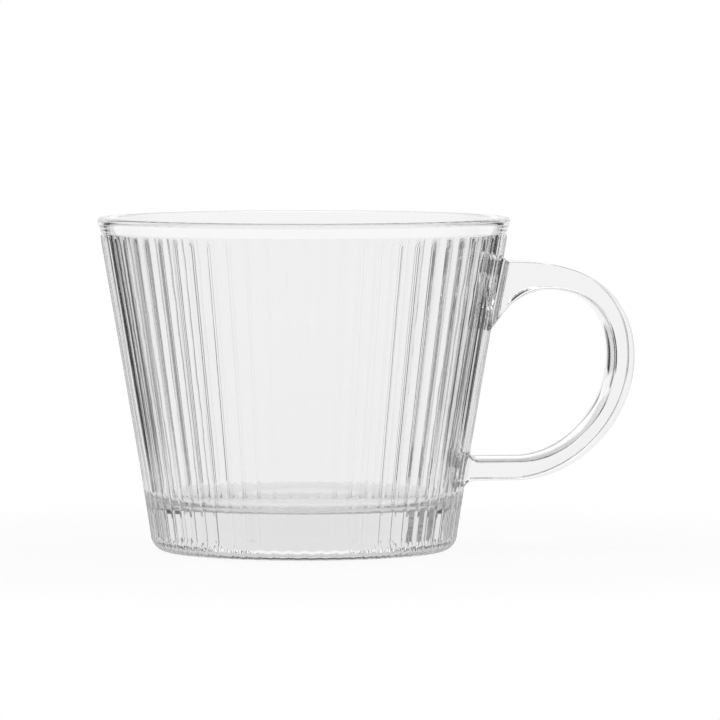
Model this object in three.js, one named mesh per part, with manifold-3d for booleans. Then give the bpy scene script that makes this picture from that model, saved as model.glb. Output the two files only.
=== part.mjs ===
// Ribbed glass mug: a pressed bowl with a heavy solid base, and a pressed handle whose two
// feet are fused to the wall. Millimetres, +Z up. The origin is on the bowl's axis, on the
// surface that the mug stands on, and the handle points along +X.

import * as THREE from 'three';
import { mergeVertices } from 'three/addons/utils/BufferGeometryUtils.js';
import Module from 'manifold-3d';

// Bowl, outside, measured over the crests of the ribs
const MUG_HEIGHT = 85;
const LIP_RADIUS = 52.6;
const LIP_BAND_HEIGHT = 4.1;
const LIP_EDGE_ROUND = 1;
const NECK_RADIUS = 51.75;
const SHOULDER_RADIUS = 41.6;
const SHOULDER_HEIGHT = 20.5;
const FOOT_RADIUS = 38.9;
const FOOT_ROUND = 3;

// Bowl, inside
const WALL_THICKNESS = 2.8;
const BASE_THICKNESS = 12;
const FLOOR_FILLET = 4;

// Ribs: narrow ridges with a shallow round flute between each two
const RIB_COUNT = 64;
const RIB_FLANK_ANGLE = THREE.MathUtils.degToRad(20);
const RIB_CREST_RISE = 0.2;
const RIB_END_LENGTH = 1.4;

// Handle: a flat strap bent into a loop, its width square to the plane of the loop
const HANDLE_TOP_BELOW_LIP = 11.5;
const HANDLE_BOTTOM_ABOVE_TABLE = 18;
const HANDLE_WIDEST_ABOVE_BOTTOM = 31.4;
const HANDLE_WIDTH = 17.5;
const HANDLE_EDGE_ROUND = 0.9;
const HANDLE_THICKNESS = 5.2;
const HANDLE_TOP_THICKNESS = 6.9;
const FINGER_ROOM = 32.1;
const UPPER_RUN = 4;
const LOWER_RUN = 12;
const HAUNCH_REACH = 12.6;
const HAUNCH_DROP = 8.8;
const HAUNCH_ANGLE = THREE.MathUtils.degToRad(55);
const ROOT_FILLET = 1.7;
const SEAT_CLEARANCE = 0.3;

// How full the handle's upper and lower bends are: a circle's quarter would be 0.55
const UPPER_BEND_FULLNESS = 0.63;
const LOWER_BEND_FULLNESS = 0.53;

// Fineness of the solids
const STEPS_PER_RIB = 4;
const ROUND_STEPS = 3;
const INSIDE_STEPS = 96;
const SEAT_STEPS = 96;
const BEND_STEPS = 12;

const wasm = await Module();
wasm.setup();

const ribTopHeight = MUG_HEIGHT - LIP_BAND_HEIGHT;
const wallTopRadius = NECK_RADIUS + RIB_CREST_RISE;

// Radius over the rib crests at a height above the foot's rounding
function crestRadius(z) {
  if (z < SHOULDER_HEIGHT) {
    const share = (z - FOOT_ROUND) / (SHOULDER_HEIGHT - FOOT_ROUND);
    return THREE.MathUtils.lerp(FOOT_RADIUS, SHOULDER_RADIUS, share);
  }
  const share = (z - SHOULDER_HEIGHT) / (ribTopHeight - SHOULDER_HEIGHT);
  return THREE.MathUtils.lerp(SHOULDER_RADIUS, wallTopRadius, share);
}

function innerRadius(z) {
  return crestRadius(z) - WALL_THICKNESS;
}

function quarterRound(centreX, centreZ, radius, fromAngle, toAngle) {
  const clockwise = toAngle < fromAngle;
  const arc = new THREE.EllipseCurve(centreX, centreZ, radius, radius, fromAngle, toAngle, clockwise);
  return arc.getPoints(ROUND_STEPS);
}

// A profile turned about the axis, with +Z up
function turned(profile, steps) {
  const geometry = new THREE.LatheGeometry(profile, steps);
  geometry.rotateX(Math.PI / 2);
  return geometry;
}

function solidFrom(geometry) {
  const bare = geometry.clone();
  bare.deleteAttribute('normal');
  bare.deleteAttribute('uv');
  const merged = mergeVertices(bare, 1e-4);
  const mesh = new wasm.Mesh({
    numProp: 3,
    vertProperties: new Float32Array(merged.attributes.position.array),
    triVerts: new Uint32Array(merged.index.array),
  });
  return new wasm.Manifold(mesh);
}

function geometryFrom(solid) {
  const mesh = solid.getMesh();
  const geometry = new THREE.BufferGeometry();
  geometry.setAttribute('position', new THREE.BufferAttribute(new Float32Array(mesh.vertProperties), 3));
  geometry.setIndex(new THREE.BufferAttribute(new Uint32Array(mesh.triVerts), 1));
  geometry.computeVertexNormals();
  return geometry;
}

function clearGlass() {
  return new THREE.MeshStandardMaterial({
    color: 0xeef1f0,
    roughness: 0.03,
    metalness: 0,
    transparent: true,
    opacity: 0.35,
  });
}

// Share of the full rib depth at a height: none on the flat of the foot, none at the neck
function ribShare(z) {
  const footShare = THREE.MathUtils.clamp(z / FOOT_ROUND, 0, 1);
  const endShare = THREE.MathUtils.clamp((ribTopHeight - z) / RIB_END_LENGTH, 0, 1);
  return Math.min(footShare, endShare);
}

// Presses the flutes into a turned blank, with a rib on +X. Across is 0 on a rib and 1 in the middle of a flute.
function pressRibs(geometry) {
  const position = geometry.attributes.position;
  const pitchAngle = (2 * Math.PI) / RIB_COUNT;
  for (let i = 0; i < position.count; i += 1) {
    const x = position.getX(i);
    const y = position.getY(i);
    const z = position.getZ(i);
    const radius = Math.hypot(x, y);
    if (radius > 0 && z < ribTopHeight) {
      const ribsFromFront = Math.atan2(y, x) / pitchAngle;
      const across = 2 * Math.abs(ribsFromFront - Math.round(ribsFromFront));
      const depth = (radius * pitchAngle * Math.tan(RIB_FLANK_ANGLE)) / 4;
      const pressed = 1 - (depth * across * (2 - across) * ribShare(z)) / radius;
      position.setXY(i, x * pressed, y * pressed);
    }
  }
  return geometry;
}

function bowlOutside() {
  const footCentre = FOOT_RADIUS - FOOT_ROUND;
  const lipWidest = MUG_HEIGHT - LIP_EDGE_ROUND;
  const lipCentre = LIP_RADIUS - LIP_EDGE_ROUND;
  const band = new THREE.QuadraticBezierCurve(
    new THREE.Vector2(NECK_RADIUS, ribTopHeight),
    new THREE.Vector2(LIP_RADIUS, (ribTopHeight + lipWidest) / 2),
    new THREE.Vector2(LIP_RADIUS, lipWidest),
  );
  const ribEnd = ribTopHeight - RIB_END_LENGTH;
  const profile = [
    new THREE.Vector2(0, 0),
    ...quarterRound(footCentre, FOOT_ROUND, FOOT_ROUND, -Math.PI / 2, 0),
    new THREE.Vector2(SHOULDER_RADIUS, SHOULDER_HEIGHT),
    new THREE.Vector2(crestRadius(ribEnd), ribEnd),
    ...band.getPoints(2),
    ...quarterRound(lipCentre, lipWidest, LIP_EDGE_ROUND, 0, Math.PI / 2).slice(1),
    new THREE.Vector2(0, MUG_HEIGHT),
  ];
  return solidFrom(pressRibs(turned(profile, RIB_COUNT * STEPS_PER_RIB)));
}

function bowlInside() {
  const filletHeight = BASE_THICKNESS + FLOOR_FILLET;
  const filletCentre = innerRadius(filletHeight) - FLOOR_FILLET;
  const edgeHeight = MUG_HEIGHT - LIP_EDGE_ROUND;
  const edgeRadius = innerRadius(edgeHeight) + LIP_EDGE_ROUND;
  const profile = [
    new THREE.Vector2(0, BASE_THICKNESS),
    ...quarterRound(filletCentre, filletHeight, FLOOR_FILLET, -Math.PI / 2, 0),
    ...quarterRound(edgeRadius, edgeHeight, LIP_EDGE_ROUND, Math.PI, Math.PI / 2),
    new THREE.Vector2(edgeRadius, MUG_HEIGHT + LIP_EDGE_ROUND),
    new THREE.Vector2(0, MUG_HEIGHT + LIP_EDGE_ROUND),
  ];
  return solidFrom(turned(profile, INSIDE_STEPS));
}

// The wall as the handle's feet meet it: a plain blank over the rib crests, and the clearance
function handleSeat() {
  const profile = [
    new THREE.Vector2(0, 0),
    new THREE.Vector2(crestRadius(0) + SEAT_CLEARANCE, 0),
    new THREE.Vector2(SHOULDER_RADIUS + SEAT_CLEARANCE, SHOULDER_HEIGHT),
    new THREE.Vector2(crestRadius(MUG_HEIGHT) + SEAT_CLEARANCE, MUG_HEIGHT),
    new THREE.Vector2(0, MUG_HEIGHT),
  ];
  return solidFrom(turned(profile, SEAT_STEPS));
}

// The loop's outline in the plane through the bowl's axis. Both ends run on into the wall, and the
// tails of the fillets and the haunch leave room there for the strap's rounded edge.
function handleOutline() {
  const mix = THREE.MathUtils.lerp;
  const top = MUG_HEIGHT - HANDLE_TOP_BELOW_LIP;
  const bottom = HANDLE_BOTTOM_ABOVE_TABLE;
  const widest = bottom + HANDLE_WIDEST_ABOVE_BOTTOM;
  const topInner = top - HANDLE_TOP_THICKNESS;
  const bottomInner = bottom + HANDLE_THICKNESS;
  const reachInner = crestRadius(widest) + FINGER_ROOM;
  const reach = reachInner + HANDLE_THICKNESS;
  const upperRun = crestRadius(top) + UPPER_RUN;
  const upperRunInner = crestRadius(topInner) + HAUNCH_REACH;
  const lowerRun = crestRadius(bottom) + LOWER_RUN;
  const lowerRunInner = crestRadius(bottomInner) + LOWER_RUN;
  const haunchFoot = topInner - HAUNCH_DROP;
  const haunchPull = UPPER_BEND_FULLNESS * HAUNCH_DROP;
  const tail = 2 * HANDLE_EDGE_ROUND;
  const filletTop = top + ROOT_FILLET;
  const filletBottom = bottom - ROOT_FILLET;
  const filletInner = bottomInner + ROOT_FILLET;
  const buriedUpper = crestRadius(haunchFoot) - 2 * WALL_THICKNESS;
  const buriedLower = crestRadius(filletBottom) - 2 * WALL_THICKNESS;

  const outline = new THREE.Shape();
  outline.moveTo(buriedUpper, filletTop + tail);
  outline.lineTo(crestRadius(filletTop) - tail, filletTop + tail);
  outline.lineTo(crestRadius(filletTop), filletTop);
  outline.quadraticCurveTo(crestRadius(top), top, crestRadius(top) + ROOT_FILLET, top);
  outline.lineTo(upperRun, top);
  outline.bezierCurveTo(
    mix(upperRun, reach, UPPER_BEND_FULLNESS), top,
    reach, mix(widest, top, UPPER_BEND_FULLNESS),
    reach, widest,
  );
  outline.bezierCurveTo(
    reach, mix(widest, bottom, LOWER_BEND_FULLNESS),
    mix(lowerRun, reach, LOWER_BEND_FULLNESS), bottom,
    lowerRun, bottom,
  );
  outline.lineTo(crestRadius(bottom) + ROOT_FILLET, bottom);
  outline.quadraticCurveTo(
    crestRadius(bottom), bottom,
    crestRadius(filletBottom), filletBottom,
  );
  outline.lineTo(crestRadius(filletBottom) - tail, filletBottom - tail);
  outline.lineTo(buriedLower, filletBottom - tail);
  outline.lineTo(buriedLower, filletInner + tail);
  outline.lineTo(crestRadius(filletInner) - tail, filletInner + tail);
  outline.lineTo(crestRadius(filletInner), filletInner);
  outline.quadraticCurveTo(
    crestRadius(bottomInner), bottomInner,
    crestRadius(bottomInner) + ROOT_FILLET, bottomInner,
  );
  outline.lineTo(lowerRunInner, bottomInner);
  outline.bezierCurveTo(
    mix(lowerRunInner, reachInner, LOWER_BEND_FULLNESS), bottomInner,
    reachInner, mix(widest, bottomInner, LOWER_BEND_FULLNESS),
    reachInner, widest,
  );
  outline.bezierCurveTo(
    reachInner, mix(widest, topInner, UPPER_BEND_FULLNESS),
    mix(upperRunInner, reachInner, UPPER_BEND_FULLNESS), topInner,
    upperRunInner, topInner,
  );
  outline.bezierCurveTo(
    upperRunInner - haunchPull, topInner,
    crestRadius(haunchFoot) + haunchPull / Math.tan(HAUNCH_ANGLE), haunchFoot + haunchPull,
    crestRadius(haunchFoot), haunchFoot,
  );
  outline.lineTo(crestRadius(haunchFoot) - tail / Math.tan(HAUNCH_ANGLE), haunchFoot - tail);
  outline.lineTo(buriedUpper, haunchFoot - tail);
  outline.closePath();
  return outline;
}

function handleSolid() {
  const flat = HANDLE_WIDTH - 2 * HANDLE_EDGE_ROUND;
  const geometry = new THREE.ExtrudeGeometry(handleOutline(), {
    depth: flat,
    curveSegments: BEND_STEPS,
    bevelEnabled: true,
    bevelThickness: HANDLE_EDGE_ROUND,
    bevelSize: HANDLE_EDGE_ROUND,
    bevelOffset: -HANDLE_EDGE_ROUND,
    bevelSegments: ROUND_STEPS,
  });
  geometry.translate(0, 0, -flat / 2);
  geometry.rotateX(Math.PI / 2);
  return solidFrom(geometry).subtract(handleSeat());
}

const bowl = new THREE.Mesh(geometryFrom(bowlOutside().subtract(bowlInside())), clearGlass());
bowl.name = 'bowl';

const handle = new THREE.Mesh(geometryFrom(handleSolid()), clearGlass());
handle.name = 'handle';

const mug = new THREE.Group();
mug.add(bowl, handle);

export default mug;
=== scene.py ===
import math

import bpy
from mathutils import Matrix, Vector


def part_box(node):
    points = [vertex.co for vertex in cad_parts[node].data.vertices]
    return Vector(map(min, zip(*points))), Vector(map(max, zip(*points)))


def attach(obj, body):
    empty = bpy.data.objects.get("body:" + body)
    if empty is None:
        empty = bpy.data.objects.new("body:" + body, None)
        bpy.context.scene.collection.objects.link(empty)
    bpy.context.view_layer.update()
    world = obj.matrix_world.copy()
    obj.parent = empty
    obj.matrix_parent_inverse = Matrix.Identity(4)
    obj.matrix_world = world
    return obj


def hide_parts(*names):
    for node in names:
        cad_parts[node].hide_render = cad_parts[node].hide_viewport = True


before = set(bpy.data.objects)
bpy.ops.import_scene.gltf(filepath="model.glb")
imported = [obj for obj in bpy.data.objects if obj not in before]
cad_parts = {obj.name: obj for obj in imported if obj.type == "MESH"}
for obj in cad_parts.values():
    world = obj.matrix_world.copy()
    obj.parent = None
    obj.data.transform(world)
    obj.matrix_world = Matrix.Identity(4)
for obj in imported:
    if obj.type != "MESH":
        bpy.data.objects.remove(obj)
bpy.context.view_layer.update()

# Bowl
# One pressing of clear soda-lime glass: a heavy solid base, a flared wall with 64 narrow upright ribs and
# shallow flutes between them, and a plain lip. It is fire-polished and stands on the flat of its foot.
bowl_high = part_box("bowl")[1]
mug_height = bowl_high.z
lip_radius = bowl_high.x
lip_edge_round = 0.001
lip_band_height = 0.0041
wall_top_radius = 0.05195
wall_thickness = 0.0028
shoulder_radius = 0.0416
shoulder_height = 0.0205
foot_radius = 0.0391
foot_round = 0.0043
rib_foot_round = 0.98 * foot_round
flute_foot_round = 0.0037
base_thickness = 0.012
floor_fillet = 0.004
rib_count = 64
rib_share = 0.5
rib_crest_angle = math.radians(20)
rib_edge_angle = math.radians(12)
rib_tip_start = 0.0786
rib_tip_end = 0.0808

rib_angle = math.tau / rib_count
quarter_turn = math.pi / 2
lip_band_start = mug_height - lip_band_height
lip_widest = mug_height - lip_edge_round


def mix(a, b, share):
    return a + (b - a) * share


def crest_radius(z):
    """Radius over the rib crests, which lie on two cones that meet at the shoulder."""
    if z < shoulder_height:
        return mix(foot_radius, shoulder_radius, (z - foot_round) / (shoulder_height - foot_round))
    return mix(shoulder_radius, wall_top_radius, (z - shoulder_height) / (lip_band_start - shoulder_height))


def rib_rise(radius, across):
    """How far a rib stands out of the wall. Its flanks are steeper at the crest than at the edges."""
    half_width = rib_share * radius * rib_angle / 2
    up_flank = max(1 - across / rib_share, 0.0)
    edge_slope = math.tan(rib_edge_angle)
    crest_slope = math.tan(rib_crest_angle)
    return half_width * up_flank * mix(edge_slope, crest_slope, up_flank / 2)


def wall_radius(z, across):
    """The ribbed wall. Across is 0 on a rib and 1 in the middle of a flute, and ribs end in round tips."""
    crest = crest_radius(z)
    past_tip = min(max((z - rib_tip_start) / (rib_tip_end - rib_tip_start), 0.0), 1.0)
    return crest - rib_rise(crest, 0.0) + rib_rise(crest, across) * math.sqrt(1 - past_tip**2)


def inner_radius(z):
    return crest_radius(z) - wall_thickness


# The bowl is a grid of columns and rows, and column 0 runs up the rib on +X.
columns_per_half_rib = 6
columns_per_rib = 2 * columns_per_half_rib
column_count = rib_count * columns_per_rib


def column_across(column):
    """Place across the ribs: 0 on a rib and 1 in the middle of a flute."""
    step = column % columns_per_rib
    return min(step, columns_per_rib - step) / columns_per_half_rib


def on_column(column, radius, z):
    angle = rib_angle * column / columns_per_rib
    return Vector((radius * math.cos(angle), radius * math.sin(angle), z))


def wall_point(column, z):
    return on_column(column, wall_radius(z, column_across(column)), z)


def foot_point(column, turn):
    """The rounded foot, which is a little tighter under the flutes. Turn is 0 where it meets the table."""
    across = column_across(column)
    to_flute = (1 - math.cos(math.pi * across)) / 2
    rounding = mix(rib_foot_round, flute_foot_round, to_flute)
    radius = wall_radius(foot_round, across) - rounding * (1 - math.sin(turn))
    return on_column(column, radius, rounding * (1 - math.cos(turn)))


def plain_row(radius, z):
    return [on_column(column, radius, z) for column in range(column_count)]


def rounded_row(middle_radius, middle_z, rounding, turn):
    """A row on a rounded edge. Turn is 0 where the edge faces out and a quarter turn where it faces up."""
    return plain_row(middle_radius + rounding * math.cos(turn), middle_z + rounding * math.sin(turn))


def steps(start, end, count):
    """Count equal steps from start towards end, without the end itself."""
    return [mix(start, end, step / count) for step in range(count)]


# Heights of the wall's rows. The handle's feet are fused to the wall at two seats, where the rows are closer.
handle_top = 0.0735
handle_bottom = 0.018
handle_thickness = 0.0052
haunch_foot = 0.0578
root_fillet = 0.0017
lower_seat = (handle_bottom - root_fillet, handle_bottom + handle_thickness + root_fillet)
upper_seat = (haunch_foot - root_fillet, handle_top + root_fillet)
rows_under_seats = 4
rows_per_seat = 16
rows_between_seats = 8
rows_over_seats = 3
rows_at_rib_tips = 12
wall_heights = [
    *steps(foot_round, lower_seat[0], rows_under_seats),
    *steps(*lower_seat, rows_per_seat),
    *steps(lower_seat[1], upper_seat[0], rows_between_seats),
    *steps(*upper_seat, rows_per_seat),
    *steps(upper_seat[1], rib_tip_start, rows_over_seats),
    *steps(rib_tip_start, rib_tip_end, rows_at_rib_tips),
    rib_tip_end,
]

# The rows start round the middle of the underside, go up the outside, over the lip and down to the floor.
underside_rows = 4
foot_rows = 8
lip_band_rows = 6
lip_edge_rows = 6
inner_wall_rows = 12
fillet_rows = 8
floor_rows = 4
underside_radius = foot_radius - foot_round
lip_outer_middle = lip_radius - lip_edge_round
lip_inner_middle = inner_radius(lip_widest) + lip_edge_round
fillet_top = base_thickness + floor_fillet
floor_radius = inner_radius(fillet_top) - floor_fillet
bowl_rows = []
for radius in steps(0.0, underside_radius, underside_rows)[1:]:
    bowl_rows.append(plain_row(radius, 0.0))
for turn in steps(0.0, quarter_turn, foot_rows):
    bowl_rows.append([foot_point(column, turn) for column in range(column_count)])
first_wall_row = len(bowl_rows)
for z in wall_heights:
    bowl_rows.append([wall_point(column, z) for column in range(column_count)])
for share in steps(0.0, 1.0, lip_band_rows):
    radius = mix(wall_radius(lip_band_start, 1.0), lip_radius, share)
    bowl_rows.append(plain_row(radius, mix(lip_band_start, lip_widest, share)))
for turn in steps(0.0, quarter_turn, lip_edge_rows):
    bowl_rows.append(rounded_row(lip_outer_middle, lip_widest, lip_edge_round, turn))
for turn in steps(quarter_turn, 2 * quarter_turn, lip_edge_rows):
    bowl_rows.append(rounded_row(lip_inner_middle, lip_widest, lip_edge_round, turn))
for z in steps(lip_widest, fillet_top, inner_wall_rows):
    bowl_rows.append(plain_row(inner_radius(z), z))
for turn in steps(0.0, -quarter_turn, fillet_rows):
    bowl_rows.append(rounded_row(floor_radius, fillet_top, floor_fillet, turn))
for radius in steps(floor_radius, 0.0, floor_rows):
    bowl_rows.append(plain_row(radius, base_thickness))


def bowl_faces(row_count, underside_middle, floor_middle):
    faces = []
    for column in range(column_count):
        beside = (column + 1) % column_count
        faces.append((underside_middle, beside, column))
        for row in range(row_count - 1):
            below = row * column_count
            above = below + column_count
            faces.append((below + column, below + beside, above + beside, above + column))
        last = (row_count - 1) * column_count
        faces.append((last + column, last + beside, floor_middle))
    return faces


def piece_from(name, points, faces):
    mesh = bpy.data.meshes.new(name)
    mesh.from_pydata([tuple(point) for point in points], [], faces)
    mesh.shade_smooth()
    piece = bpy.data.objects.new(name, mesh)
    bpy.context.scene.collection.objects.link(piece)
    return piece


bowl_points = [point for row in bowl_rows for point in row]
underside_middle = len(bowl_points)
floor_middle = underside_middle + 1
bowl_points += [Vector((0.0, 0.0, 0.0)), Vector((0.0, 0.0, base_thickness))]
bowl = piece_from("bowl_pressing", bowl_points, bowl_faces(len(bowl_rows), underside_middle, floor_middle))

# The two flanks of each rib meet in a crisp line at the crest, and each meets the flute in another.
rib_edge_column = round(rib_share * columns_per_half_rib)
crisp_columns = (0, rib_edge_column, columns_per_rib - rib_edge_column)
last_rib_point = (first_wall_row + len(wall_heights)) * column_count
for edge in bowl.data.edges:
    low, high = sorted(edge.vertices)
    upright = high - low == column_count and high < last_rib_point
    if upright and low % columns_per_rib in crisp_columns:
        edge.use_edge_sharp = True

# Fire-polished pressed glass: the skin keeps a faint waviness from the mould and a trace of haze.
glass_ior = 1.51
glass_colour = (0.95, 0.95, 0.95, 1.0)
glass_body_colour = (0.8, 0.8, 0.8, 1.0)
glass_density = 14.0
bowl_waves_per_metre = 140.0
wave_depth = 0.00002
haze_specks_per_metre = 900.0
haze_amount = 0.02


def feed(tree, socket, value):
    """Links a node's output to the socket, or sets a plain value on it."""
    if isinstance(value, bpy.types.NodeSocket):
        tree.links.new(value, socket)
    else:
        socket.default_value = value


def add_node(tree, kind, **inputs):
    """Adds a node and feeds its inputs. An underscore stands for a space in an input's name."""
    node = tree.nodes.new(kind)
    for name, value in inputs.items():
        feed(tree, node.inputs[name.replace("_", " ")], value)
    return node


def add_math(tree, operation, *values):
    node = tree.nodes.new("ShaderNodeMath")
    node.operation = operation
    for socket, value in zip(node.inputs, values):
        feed(tree, socket, value)
    return node.outputs["Value"]


polish = bpy.data.node_groups.new("fire_polish", "ShaderNodeTree")
polish.interface.new_socket("Wave Size", in_out="INPUT", socket_type="NodeSocketFloat")
polish.interface.new_socket("Haze", in_out="INPUT", socket_type="NodeSocketFloat")
polish.interface.new_socket("Roughness", in_out="OUTPUT", socket_type="NodeSocketFloat")
polish.interface.new_socket("Height", in_out="OUTPUT", socket_type="NodeSocketFloat")
polish_in = polish.nodes.new("NodeGroupInput").outputs
polish_out = polish.nodes.new("NodeGroupOutput").inputs
place = polish.nodes.new("ShaderNodeTexCoord").outputs["Object"]
wave = add_node(
    polish, "ShaderNodeTexNoise", Vector=place, Scale=polish_in["Wave Size"], Detail=1.0, Roughness=0.4
)
speck = add_node(polish, "ShaderNodeTexNoise", Vector=place, Scale=haze_specks_per_metre, Detail=3.0)
haze = add_math(polish, "MULTIPLY", speck.outputs["Fac"], polish_in["Haze"])
polish.links.new(haze, polish_out["Roughness"])
polish.links.new(wave.outputs["Fac"], polish_out["Height"])


def darken_with_depth(tree):
    """Thick glass is a little greyer than thin glass."""
    body = add_node(tree, "ShaderNodeVolumeAbsorption", Color=glass_body_colour, Density=glass_density)
    tree.links.new(body.outputs["Volume"], tree.nodes["Material Output"].inputs["Volume"])


def pressed_glass(name, waves_per_metre):
    material = bpy.data.materials.new(name)
    material.use_nodes = True
    tree = material.node_tree
    shader = tree.nodes["Principled BSDF"]
    shader.inputs["Base Color"].default_value = glass_colour
    shader.inputs["Transmission Weight"].default_value = 1.0
    shader.inputs["IOR"].default_value = glass_ior
    skin = tree.nodes.new("ShaderNodeGroup")
    skin.node_tree = polish
    skin.inputs["Wave Size"].default_value = waves_per_metre
    skin.inputs["Haze"].default_value = haze_amount
    bump = add_node(tree, "ShaderNodeBump", Distance=wave_depth, Height=skin.outputs["Height"])
    tree.links.new(skin.outputs["Roughness"], shader.inputs["Roughness"])
    tree.links.new(bump.outputs["Normal"], shader.inputs["Normal"])
    darken_with_depth(tree)
    return material


# Where the handle is fused on there is no surface inside the glass, so light goes straight through.
fused_seat = bpy.data.materials.new("fused_seat")
fused_seat.use_nodes = True
seat_tree = fused_seat.node_tree
seat_tree.nodes.remove(seat_tree.nodes["Principled BSDF"])
clear = seat_tree.nodes.new("ShaderNodeBsdfTransparent")
seat_tree.links.new(clear.outputs["BSDF"], seat_tree.nodes["Material Output"].inputs["Surface"])
darken_with_depth(seat_tree)

# Each seat reaches a little over two ribs to each side, about as wide as the strap with its fillets.
seat_half_columns = 2 * columns_per_rib + 3
lower_seat_row = first_wall_row + rows_under_seats
upper_seat_row = lower_seat_row + rows_per_seat + rows_between_seats
seat_cells = set()
for seat_row in (lower_seat_row, upper_seat_row):
    for row in range(seat_row, seat_row + rows_per_seat):
        for column in range(-seat_half_columns, seat_half_columns):
            seat_cells.add((row, column % column_count))

bowl.data.materials.append(pressed_glass("bowl_pressed_glass", bowl_waves_per_metre))
bowl.data.materials.append(fused_seat)
for face in bowl.data.polygons:
    corners = face.vertices
    if len(corners) == 4 and divmod(corners[0], column_count) in seat_cells:
        face.material_index = 1
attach(bowl, "root")
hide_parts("bowl")

# Handle
# A flat strap of the same glass, bent hot into a loop that takes two fingers. Its two feet are fused
# to the ribbed wall, each with a small fillet all round, and a haunch carries the upper one.
handle_width = 0.0175
handle_edge_round = 0.0004
handle_top_thickness = 0.0069
handle_widest = 0.0494
inner_crown = 0.0012
inner_edge_drop = 0.0005
finger_room = 0.0321
upper_run = 0.004
lower_run = 0.012
haunch_reach = 0.0126
haunch_angle = math.radians(55)
upper_bend_fullness = 0.63
lower_bend_fullness = 0.53
handle_waves_per_metre = 110.0

top_inner = handle_top - handle_top_thickness
bottom_inner = handle_bottom + handle_thickness
reach_inner = crest_radius(handle_widest) + finger_room
reach = reach_inner + handle_thickness
haunch_pull = upper_bend_fullness * (top_inner - haunch_foot)


def in_plane(x, z):
    return Vector((x, 0.0, z))


def bent(corner_points, share):
    """A point on the curve that these points bend: two make a line, four a cubic curve."""
    line = list(corner_points)
    while len(line) > 1:
        line = [a.lerp(b, share) for a, b in zip(line, line[1:])]
    return line[0]


def bend(start_x, start_z, end_x, end_z, fullness):
    """A quarter of the loop, from a level run to the upright stretch that is furthest out."""
    return [
        in_plane(start_x, start_z),
        in_plane(mix(start_x, end_x, fullness), start_z),
        in_plane(end_x, mix(end_z, start_z, fullness)),
        in_plane(end_x, end_z),
    ]


# The strap's outer and inner lines, each in four stretches from the upper foot round to the lower one.
upper_straight, upper_curve, lower_curve, lower_straight = range(4)
upper_run_end = crest_radius(handle_top) + upper_run
haunch_start = in_plane(crest_radius(haunch_foot), haunch_foot)
haunch_end = crest_radius(top_inner) + haunch_reach
lower_run_end = crest_radius(handle_bottom) + lower_run
lower_inner_end = crest_radius(bottom_inner) + lower_run
outer_line = [
    [in_plane(crest_radius(handle_top), handle_top), in_plane(upper_run_end, handle_top)],
    bend(upper_run_end, handle_top, reach, handle_widest, upper_bend_fullness),
    bend(lower_run_end, handle_bottom, reach, handle_widest, lower_bend_fullness)[::-1],
    [in_plane(lower_run_end, handle_bottom), in_plane(crest_radius(handle_bottom), handle_bottom)],
]
inner_line = [
    [
        haunch_start,
        haunch_start + in_plane(haunch_pull / math.tan(haunch_angle), haunch_pull),
        in_plane(haunch_end - haunch_pull, top_inner),
        in_plane(haunch_end, top_inner),
    ],
    bend(haunch_end, top_inner, reach_inner, handle_widest, upper_bend_fullness),
    bend(lower_inner_end, bottom_inner, reach_inner, handle_widest, lower_bend_fullness)[::-1],
    [in_plane(lower_inner_end, bottom_inner), in_plane(crest_radius(bottom_inner), bottom_inner)],
]

# Each ring of the strap has as many points as the edge of a seat has grid points on the wall.
corner_steps = 6
seat_half_rows = rows_per_seat // 2


def ring_steps():
    """Walks once round the section: across the outer face, down one side, back and up the other."""
    wide, high = seat_half_columns, seat_half_rows
    walk = [(step, high) for step in range(-wide, wide)]
    walk += [(wide, step) for step in range(high, -high, -1)]
    walk += [(step, -high) for step in range(wide, -wide, -1)]
    walk += [(-wide, step) for step in range(-high, high)]
    return walk


def along_face(step, half_steps, half_size):
    """Place along a face of the section, and how far its rounded edge has dropped there."""
    flat_steps = half_steps - corner_steps
    flat = half_size - handle_edge_round
    if abs(step) <= flat_steps:
        return flat * step / flat_steps, 0.0
    turn = math.pi / 4 * (abs(step) - flat_steps) / corner_steps
    along = flat + handle_edge_round * math.sin(turn)
    return math.copysign(along, step), handle_edge_round * (1 - math.cos(turn))


def strap_ring(stretch, share):
    """One section of the strap: flat outside, flat sides, and a crowned inner face."""
    outer = bent(outer_line[stretch], share)
    inner = bent(inner_line[stretch], share)
    middle = (outer + inner) / 2
    half_thickness = (outer - inner).length / 2
    outward = (outer - inner).normalized()
    ring = []
    for wide_step, high_step in ring_steps():
        if abs(high_step) == seat_half_rows:
            y, drop = along_face(wide_step, seat_half_columns, handle_width / 2)
            lift = half_thickness - drop
            if high_step < 0:
                crown = inner_crown * (1 - (2 * y / handle_width) ** 2)
                lift = inner_edge_drop - crown - lift
        else:
            lift, drop = along_face(high_step, seat_half_rows, half_thickness - inner_edge_drop / 2)
            lift += inner_edge_drop / 2
            y = math.copysign(handle_width / 2 - drop, wide_step)
        ring.append(middle + outward * lift + Vector((0.0, y, 0.0)))
    return ring


def seat_point(seat, wide_step, high_step, upside_down):
    """A grid point of the wall under a foot. At the lower foot the strap's outer face is the lower one."""
    share = (high_step + seat_half_rows) / rows_per_seat
    if upside_down:
        share = 1 - share
    return wall_point(wide_step, mix(*seat, share))


def seat_ring(seat, upside_down):
    return [seat_point(seat, wide, high, upside_down) for wide, high in ring_steps()]


def filleted(ring, seat, distance):
    """A ring of the strap near the wall, spread towards its seat as a fillet spreads."""
    spread = 1 - math.sqrt(1 - (1 - distance / root_fillet) ** 2)
    away = Vector((distance, 0.0, 0.0))
    return [mix(point, rest + away, spread) for point, rest in zip(ring, seat)]


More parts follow.
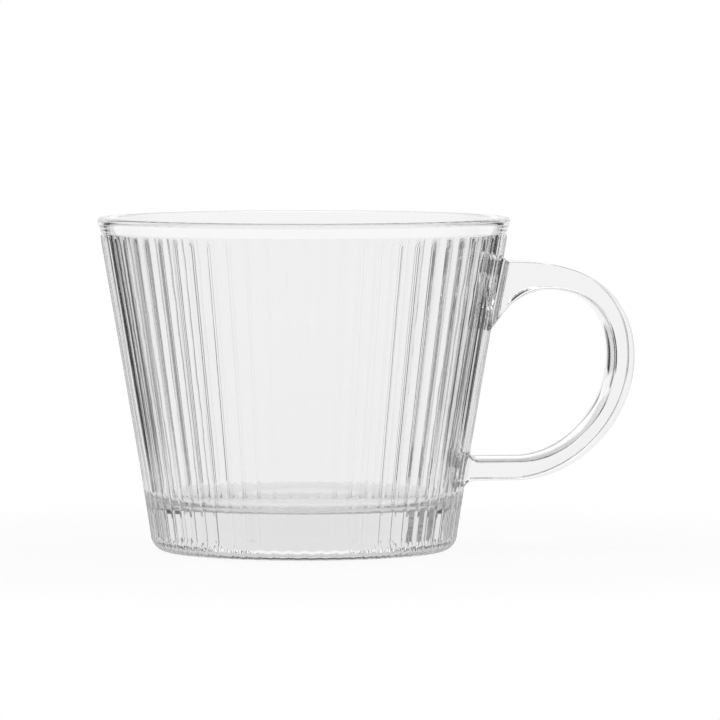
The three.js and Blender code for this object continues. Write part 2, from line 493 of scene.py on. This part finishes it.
fillet_steps = 10
run_steps = 8
bend_steps = 48
fillet_distances = [root_fillet * (step / fillet_steps) ** 2 for step in range(1, fillet_steps)]
lower_fillet_share = 1 - root_fillet / lower_run
upper_seat_ring = seat_ring(upper_seat, False)
lower_seat_ring = seat_ring(lower_seat, True)
rings = [upper_seat_ring]
for distance in fillet_distances:
    rings.append(filleted(strap_ring(upper_straight, distance / upper_run), upper_seat_ring, distance))
for share in steps(root_fillet / upper_run, 1.0, run_steps):
    rings.append(strap_ring(upper_straight, share))
for stretch in (upper_curve, lower_curve):
    for share in steps(0.0, 1.0, bend_steps):
        rings.append(strap_ring(stretch, share))
for share in steps(0.0, lower_fillet_share, run_steps):
    rings.append(strap_ring(lower_straight, share))
rings.append(strap_ring(lower_straight, lower_fillet_share))
for distance in reversed(fillet_distances):
    rings.append(filleted(strap_ring(lower_straight, 1 - distance / lower_run), lower_seat_ring, distance))
rings.append(lower_seat_ring)

ring_length = len(upper_seat_ring)
last_ring = len(rings) - 1
strap_points = [point for ring in rings for point in ring]
strap_faces = []
for ring_index in range(last_ring):
    near = ring_index * ring_length
    far = near + ring_length
    for step in range(ring_length):
        beside = (step + 1) % ring_length
        strap_faces.append((near + step, far + step, far + beside, near + beside))
side_face_count = len(strap_faces)


def close_foot(seat, upside_down, first_ring_point):
    """Closes the strap's end with a copy of the wall's grid at that seat."""
    grid = {edge_place: first_ring_point + step for step, edge_place in enumerate(ring_steps())}
    for wide in range(-seat_half_columns + 1, seat_half_columns):
        for high in range(-seat_half_rows + 1, seat_half_rows):
            grid[wide, high] = len(strap_points)
            strap_points.append(seat_point(seat, wide, high, upside_down))
    for wide in range(-seat_half_columns, seat_half_columns):
        for high in range(-seat_half_rows, seat_half_rows):
            cell = [grid[wide, high], grid[wide, high + 1], grid[wide + 1, high + 1], grid[wide + 1, high]]
            strap_faces.append(tuple(cell[::-1] if upside_down else cell))


close_foot(upper_seat, False, 0)
close_foot(lower_seat, True, last_ring * ring_length)
handle = piece_from("handle_strap", strap_points, strap_faces)
for edge in handle.data.edges:
    rings_of_edge = {vertex // ring_length for vertex in edge.vertices}
    if len(rings_of_edge) == 1 and rings_of_edge.pop() in (0, last_ring):
        edge.use_edge_sharp = True

handle.data.materials.append(pressed_glass("handle_strap_glass", handle_waves_per_metre))
handle.data.materials.append(fused_seat)
for face in handle.data.polygons[side_face_count:]:
    face.material_index = 1
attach(handle, "root")
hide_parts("handle")

# Table
# A matt white table top that the mug stands on, under soft light from above. The camera and the glass see it
# mostly as plain white, so that it melts into the backdrop and keeps only a faint shadow under the mug.
table_radius = 0.2
table_fade_start = 0.1
table_fade_end = 0.19
table_drop = 0.0002
table_steps = 64
table_colour = (0.97, 0.97, 0.97, 1.0)
white = (1.0, 1.0, 1.0, 1.0)
white_to_camera = 0.92
white_through_glass = 0.55
table_edge = []
for step in range(table_steps):
    angle = math.tau * step / table_steps
    table_edge.append(Vector((table_radius * math.cos(angle), table_radius * math.sin(angle), -table_drop)))
table = piece_from("table", table_edge, [tuple(range(table_steps))])


def add_ramp(tree, value, low, high, at_low=0.0, at_high=1.0):
    """Eases from one value to the other while the input goes from low to high."""
    limits = {"From_Min": low, "From_Max": high, "To_Min": at_low, "To_Max": at_high}
    node = add_node(tree, "ShaderNodeMapRange", Value=value, **limits)
    node.interpolation_type = "SMOOTHSTEP"
    return node.outputs["Result"]


def mix_shaders(tree, share, first, second):
    node = tree.nodes.new("ShaderNodeMixShader")
    for socket, value in zip(node.inputs, (share, first, second)):
        tree.links.new(value, socket)
    return node.outputs["Shader"]


matt = bpy.data.materials.new("table_white")
matt.use_nodes = True
matt_tree = matt.node_tree
matt_shader = matt_tree.nodes["Principled BSDF"]
matt_shader.inputs["Base Color"].default_value = table_colour
matt_shader.inputs["Roughness"].default_value = 1.0
matt_shader.inputs["Specular IOR Level"].default_value = 0.0
plain_white = add_node(matt_tree, "ShaderNodeEmission", Color=white, Strength=1.0)
nothing = matt_tree.nodes.new("ShaderNodeBsdfTransparent")
ray = matt_tree.nodes.new("ShaderNodeLightPath").outputs
seen_in_glass = add_math(matt_tree, "MAXIMUM", ray["Is Transmission Ray"], ray["Is Glossy Ray"])
glass_share = add_math(matt_tree, "MULTIPLY", seen_in_glass, white_through_glass)
white_share = add_math(matt_tree, "MULTIPLY_ADD", ray["Is Camera Ray"], white_to_camera, glass_share)
table_place = matt_tree.nodes.new("ShaderNodeTexCoord").outputs["Object"]
from_middle = matt_tree.nodes.new("ShaderNodeVectorMath")
from_middle.operation = "LENGTH"
matt_tree.links.new(table_place, from_middle.inputs[0])
fade = add_ramp(matt_tree, from_middle.outputs["Value"], table_fade_start, table_fade_end)
whitened = mix_shaders(matt_tree, white_share, matt_shader.outputs["BSDF"], plain_white.outputs["Emission"])
faded = mix_shaders(matt_tree, fade, whitened, nothing.outputs["BSDF"])
matt_tree.links.new(faded, matt_tree.nodes["Material Output"].inputs["Surface"])
table.data.materials.append(matt)

# Camera
# It stands 1.9 m from the mug and a little above it, with a long lens that flattens the perspective.
# It sees the handle turned slightly away.
camera_distance = 1.9
camera_height = 0.15
camera_turn = math.radians(6.4)
view_width = 0.1835
view_right = 0.0143
view_up = 0.0485
upward = Vector((0.0, 0.0, 1.0))
forward = Vector((math.sin(camera_turn), math.cos(camera_turn), 0.0))
rightward = Vector((math.cos(camera_turn), -math.sin(camera_turn), 0.0))
target = rightward * view_right + upward * view_up
stand = rightward * view_right - forward * camera_distance + upward * camera_height
camera_data = bpy.data.cameras.new("camera")
camera_data.sensor_width = 36.0
camera_data.lens = camera_data.sensor_width * (target - stand).length / view_width
camera_data.clip_end = 100.0
camera = bpy.data.objects.new("camera", camera_data)
camera.location = stand
camera.rotation_mode = "QUATERNION"
camera.rotation_quaternion = (target - stand).to_track_quat("-Z", "Y")
bpy.context.scene.collection.objects.link(camera)
bpy.context.scene.camera = camera

# Studio
# A bright field for glass: a white backdrop behind the mug, a dark card on each side of it, and a pale room,
# ceiling and floor all round. The cards draw the ribs and the edges of the glass as grey lines.
room_light = 0.8
floor_light = 1.0
ceiling_light = 2.2
ceiling_start = math.radians(64)
ceiling_full = math.radians(72)

# Light near eye level: degrees to the right of straight ahead, and how bright the studio is there.
level_light = [
    (-95, room_light),
    (-75, 0.65),
    (-58, 0.4),
    (-44, 0.05),
    (-25, 0.03),
    (-23, 0.95),
    (-16, 1.0),
    (18, 1.0),
    (23, 0.95),
    (26, 0.1),
    (35, 0.02),
    (55, 0.1),
    (75, 0.4),
    (95, room_light),
]
level_low = math.radians(-14)
level_high = math.radians(2.5)
level_softness = math.radians(1.5)

# Above eye level the wall is white, brightest a little higher up, and greyer to the sides.
upper_light = 1.0
brightest_light = 1.25
brightest_start = math.radians(8)
brightest_full = math.radians(12)
upper_side_light = 0.6
upper_side_start = math.radians(42)
upper_side_full = math.radians(60)

# A dark card hangs over the backdrop up to the ceiling, and a strip of it comes lower on each side.
high_card_light = 0.06
high_card_start = math.radians(20)
high_card_full = math.radians(28)
high_card_fade = math.radians(44)
high_card_end = math.radians(54)
strip_start = math.radians(24)
strip_full = math.radians(30)
strip_bottom = math.radians(10)
strip_softness = math.radians(4)

world = bpy.data.worlds.new("studio")
world.use_nodes = True
sky = world.node_tree
direction = sky.nodes.new("ShaderNodeTexCoord").outputs["Generated"]


def part_along(axis):
    """How far the light's direction points along an axis."""
    node = sky.nodes.new("ShaderNodeVectorMath")
    node.operation = "DOT_PRODUCT"
    node.inputs[1].default_value = axis
    sky.links.new(direction, node.inputs[0])
    return node.outputs["Value"]


def blend(share, first, second):
    return add_node(sky, "ShaderNodeMix", Factor=share, A=first, B=second).outputs["Result"]


bearing = add_math(sky, "ARCTAN2", part_along(rightward), part_along(forward))
to_side = add_math(sky, "ABSOLUTE", bearing)
rise = add_math(sky, "ARCSINE", part_along(upward))

level_wall = sky.nodes.new("ShaderNodeValToRGB")
stops = level_wall.color_ramp.elements
for end_stop in stops:
    end_stop.color = (room_light, room_light, room_light, 1.0)
for degrees, brightness in level_light:
    stop = stops.new((degrees + 180) / 360)
    stop.color = (brightness, brightness, brightness, 1.0)
sky.links.new(add_math(sky, "MULTIPLY_ADD", bearing, 1 / math.tau, 0.5), level_wall.inputs["Fac"])

upper_wall = add_ramp(sky, rise, brightest_start, brightest_full, upper_light, brightest_light)
upper_wall = blend(add_ramp(sky, to_side, upper_side_start, upper_side_full), upper_wall, upper_side_light)
strip_height = add_ramp(sky, rise, strip_bottom, strip_bottom + strip_softness)
strip = add_math(sky, "MULTIPLY", strip_height, add_ramp(sky, to_side, strip_start, strip_full))
high_card = add_math(sky, "MAXIMUM", strip, add_ramp(sky, rise, high_card_start, high_card_full))
in_front = add_ramp(sky, to_side, high_card_fade, high_card_end, 1.0, 0.0)
upper_wall = blend(add_math(sky, "MULTIPLY", high_card, in_front), upper_wall, high_card_light)

above_level = add_ramp(sky, rise, level_high, level_high + level_softness)
below_level = add_ramp(sky, rise, level_low - level_softness, level_low, 1.0, 0.0)
studio_light = blend(above_level, level_wall.outputs["Color"], upper_wall)
studio_light = blend(add_ramp(sky, rise, ceiling_start, ceiling_full), studio_light, ceiling_light)
studio_light = blend(below_level, studio_light, floor_light)

# The camera itself sees plain white all round.
seen_by_camera = sky.nodes.new("ShaderNodeLightPath").outputs["Is Camera Ray"]
studio_light = blend(seen_by_camera, studio_light, 1.0)
sky.links.new(studio_light, sky.nodes["Background"].inputs["Color"])
bpy.context.scene.world = world
bpy.context.scene.view_settings.view_transform = "Standard"

# Light passes many glass surfaces on its way through the ribs and the base.
bpy.context.scene.cycles.max_bounces = 32
bpy.context.scene.cycles.transmission_bounces = 32
bpy.context.scene.cycles.glossy_bounces = 16
bpy.context.scene.cycles.transparent_max_bounces = 16
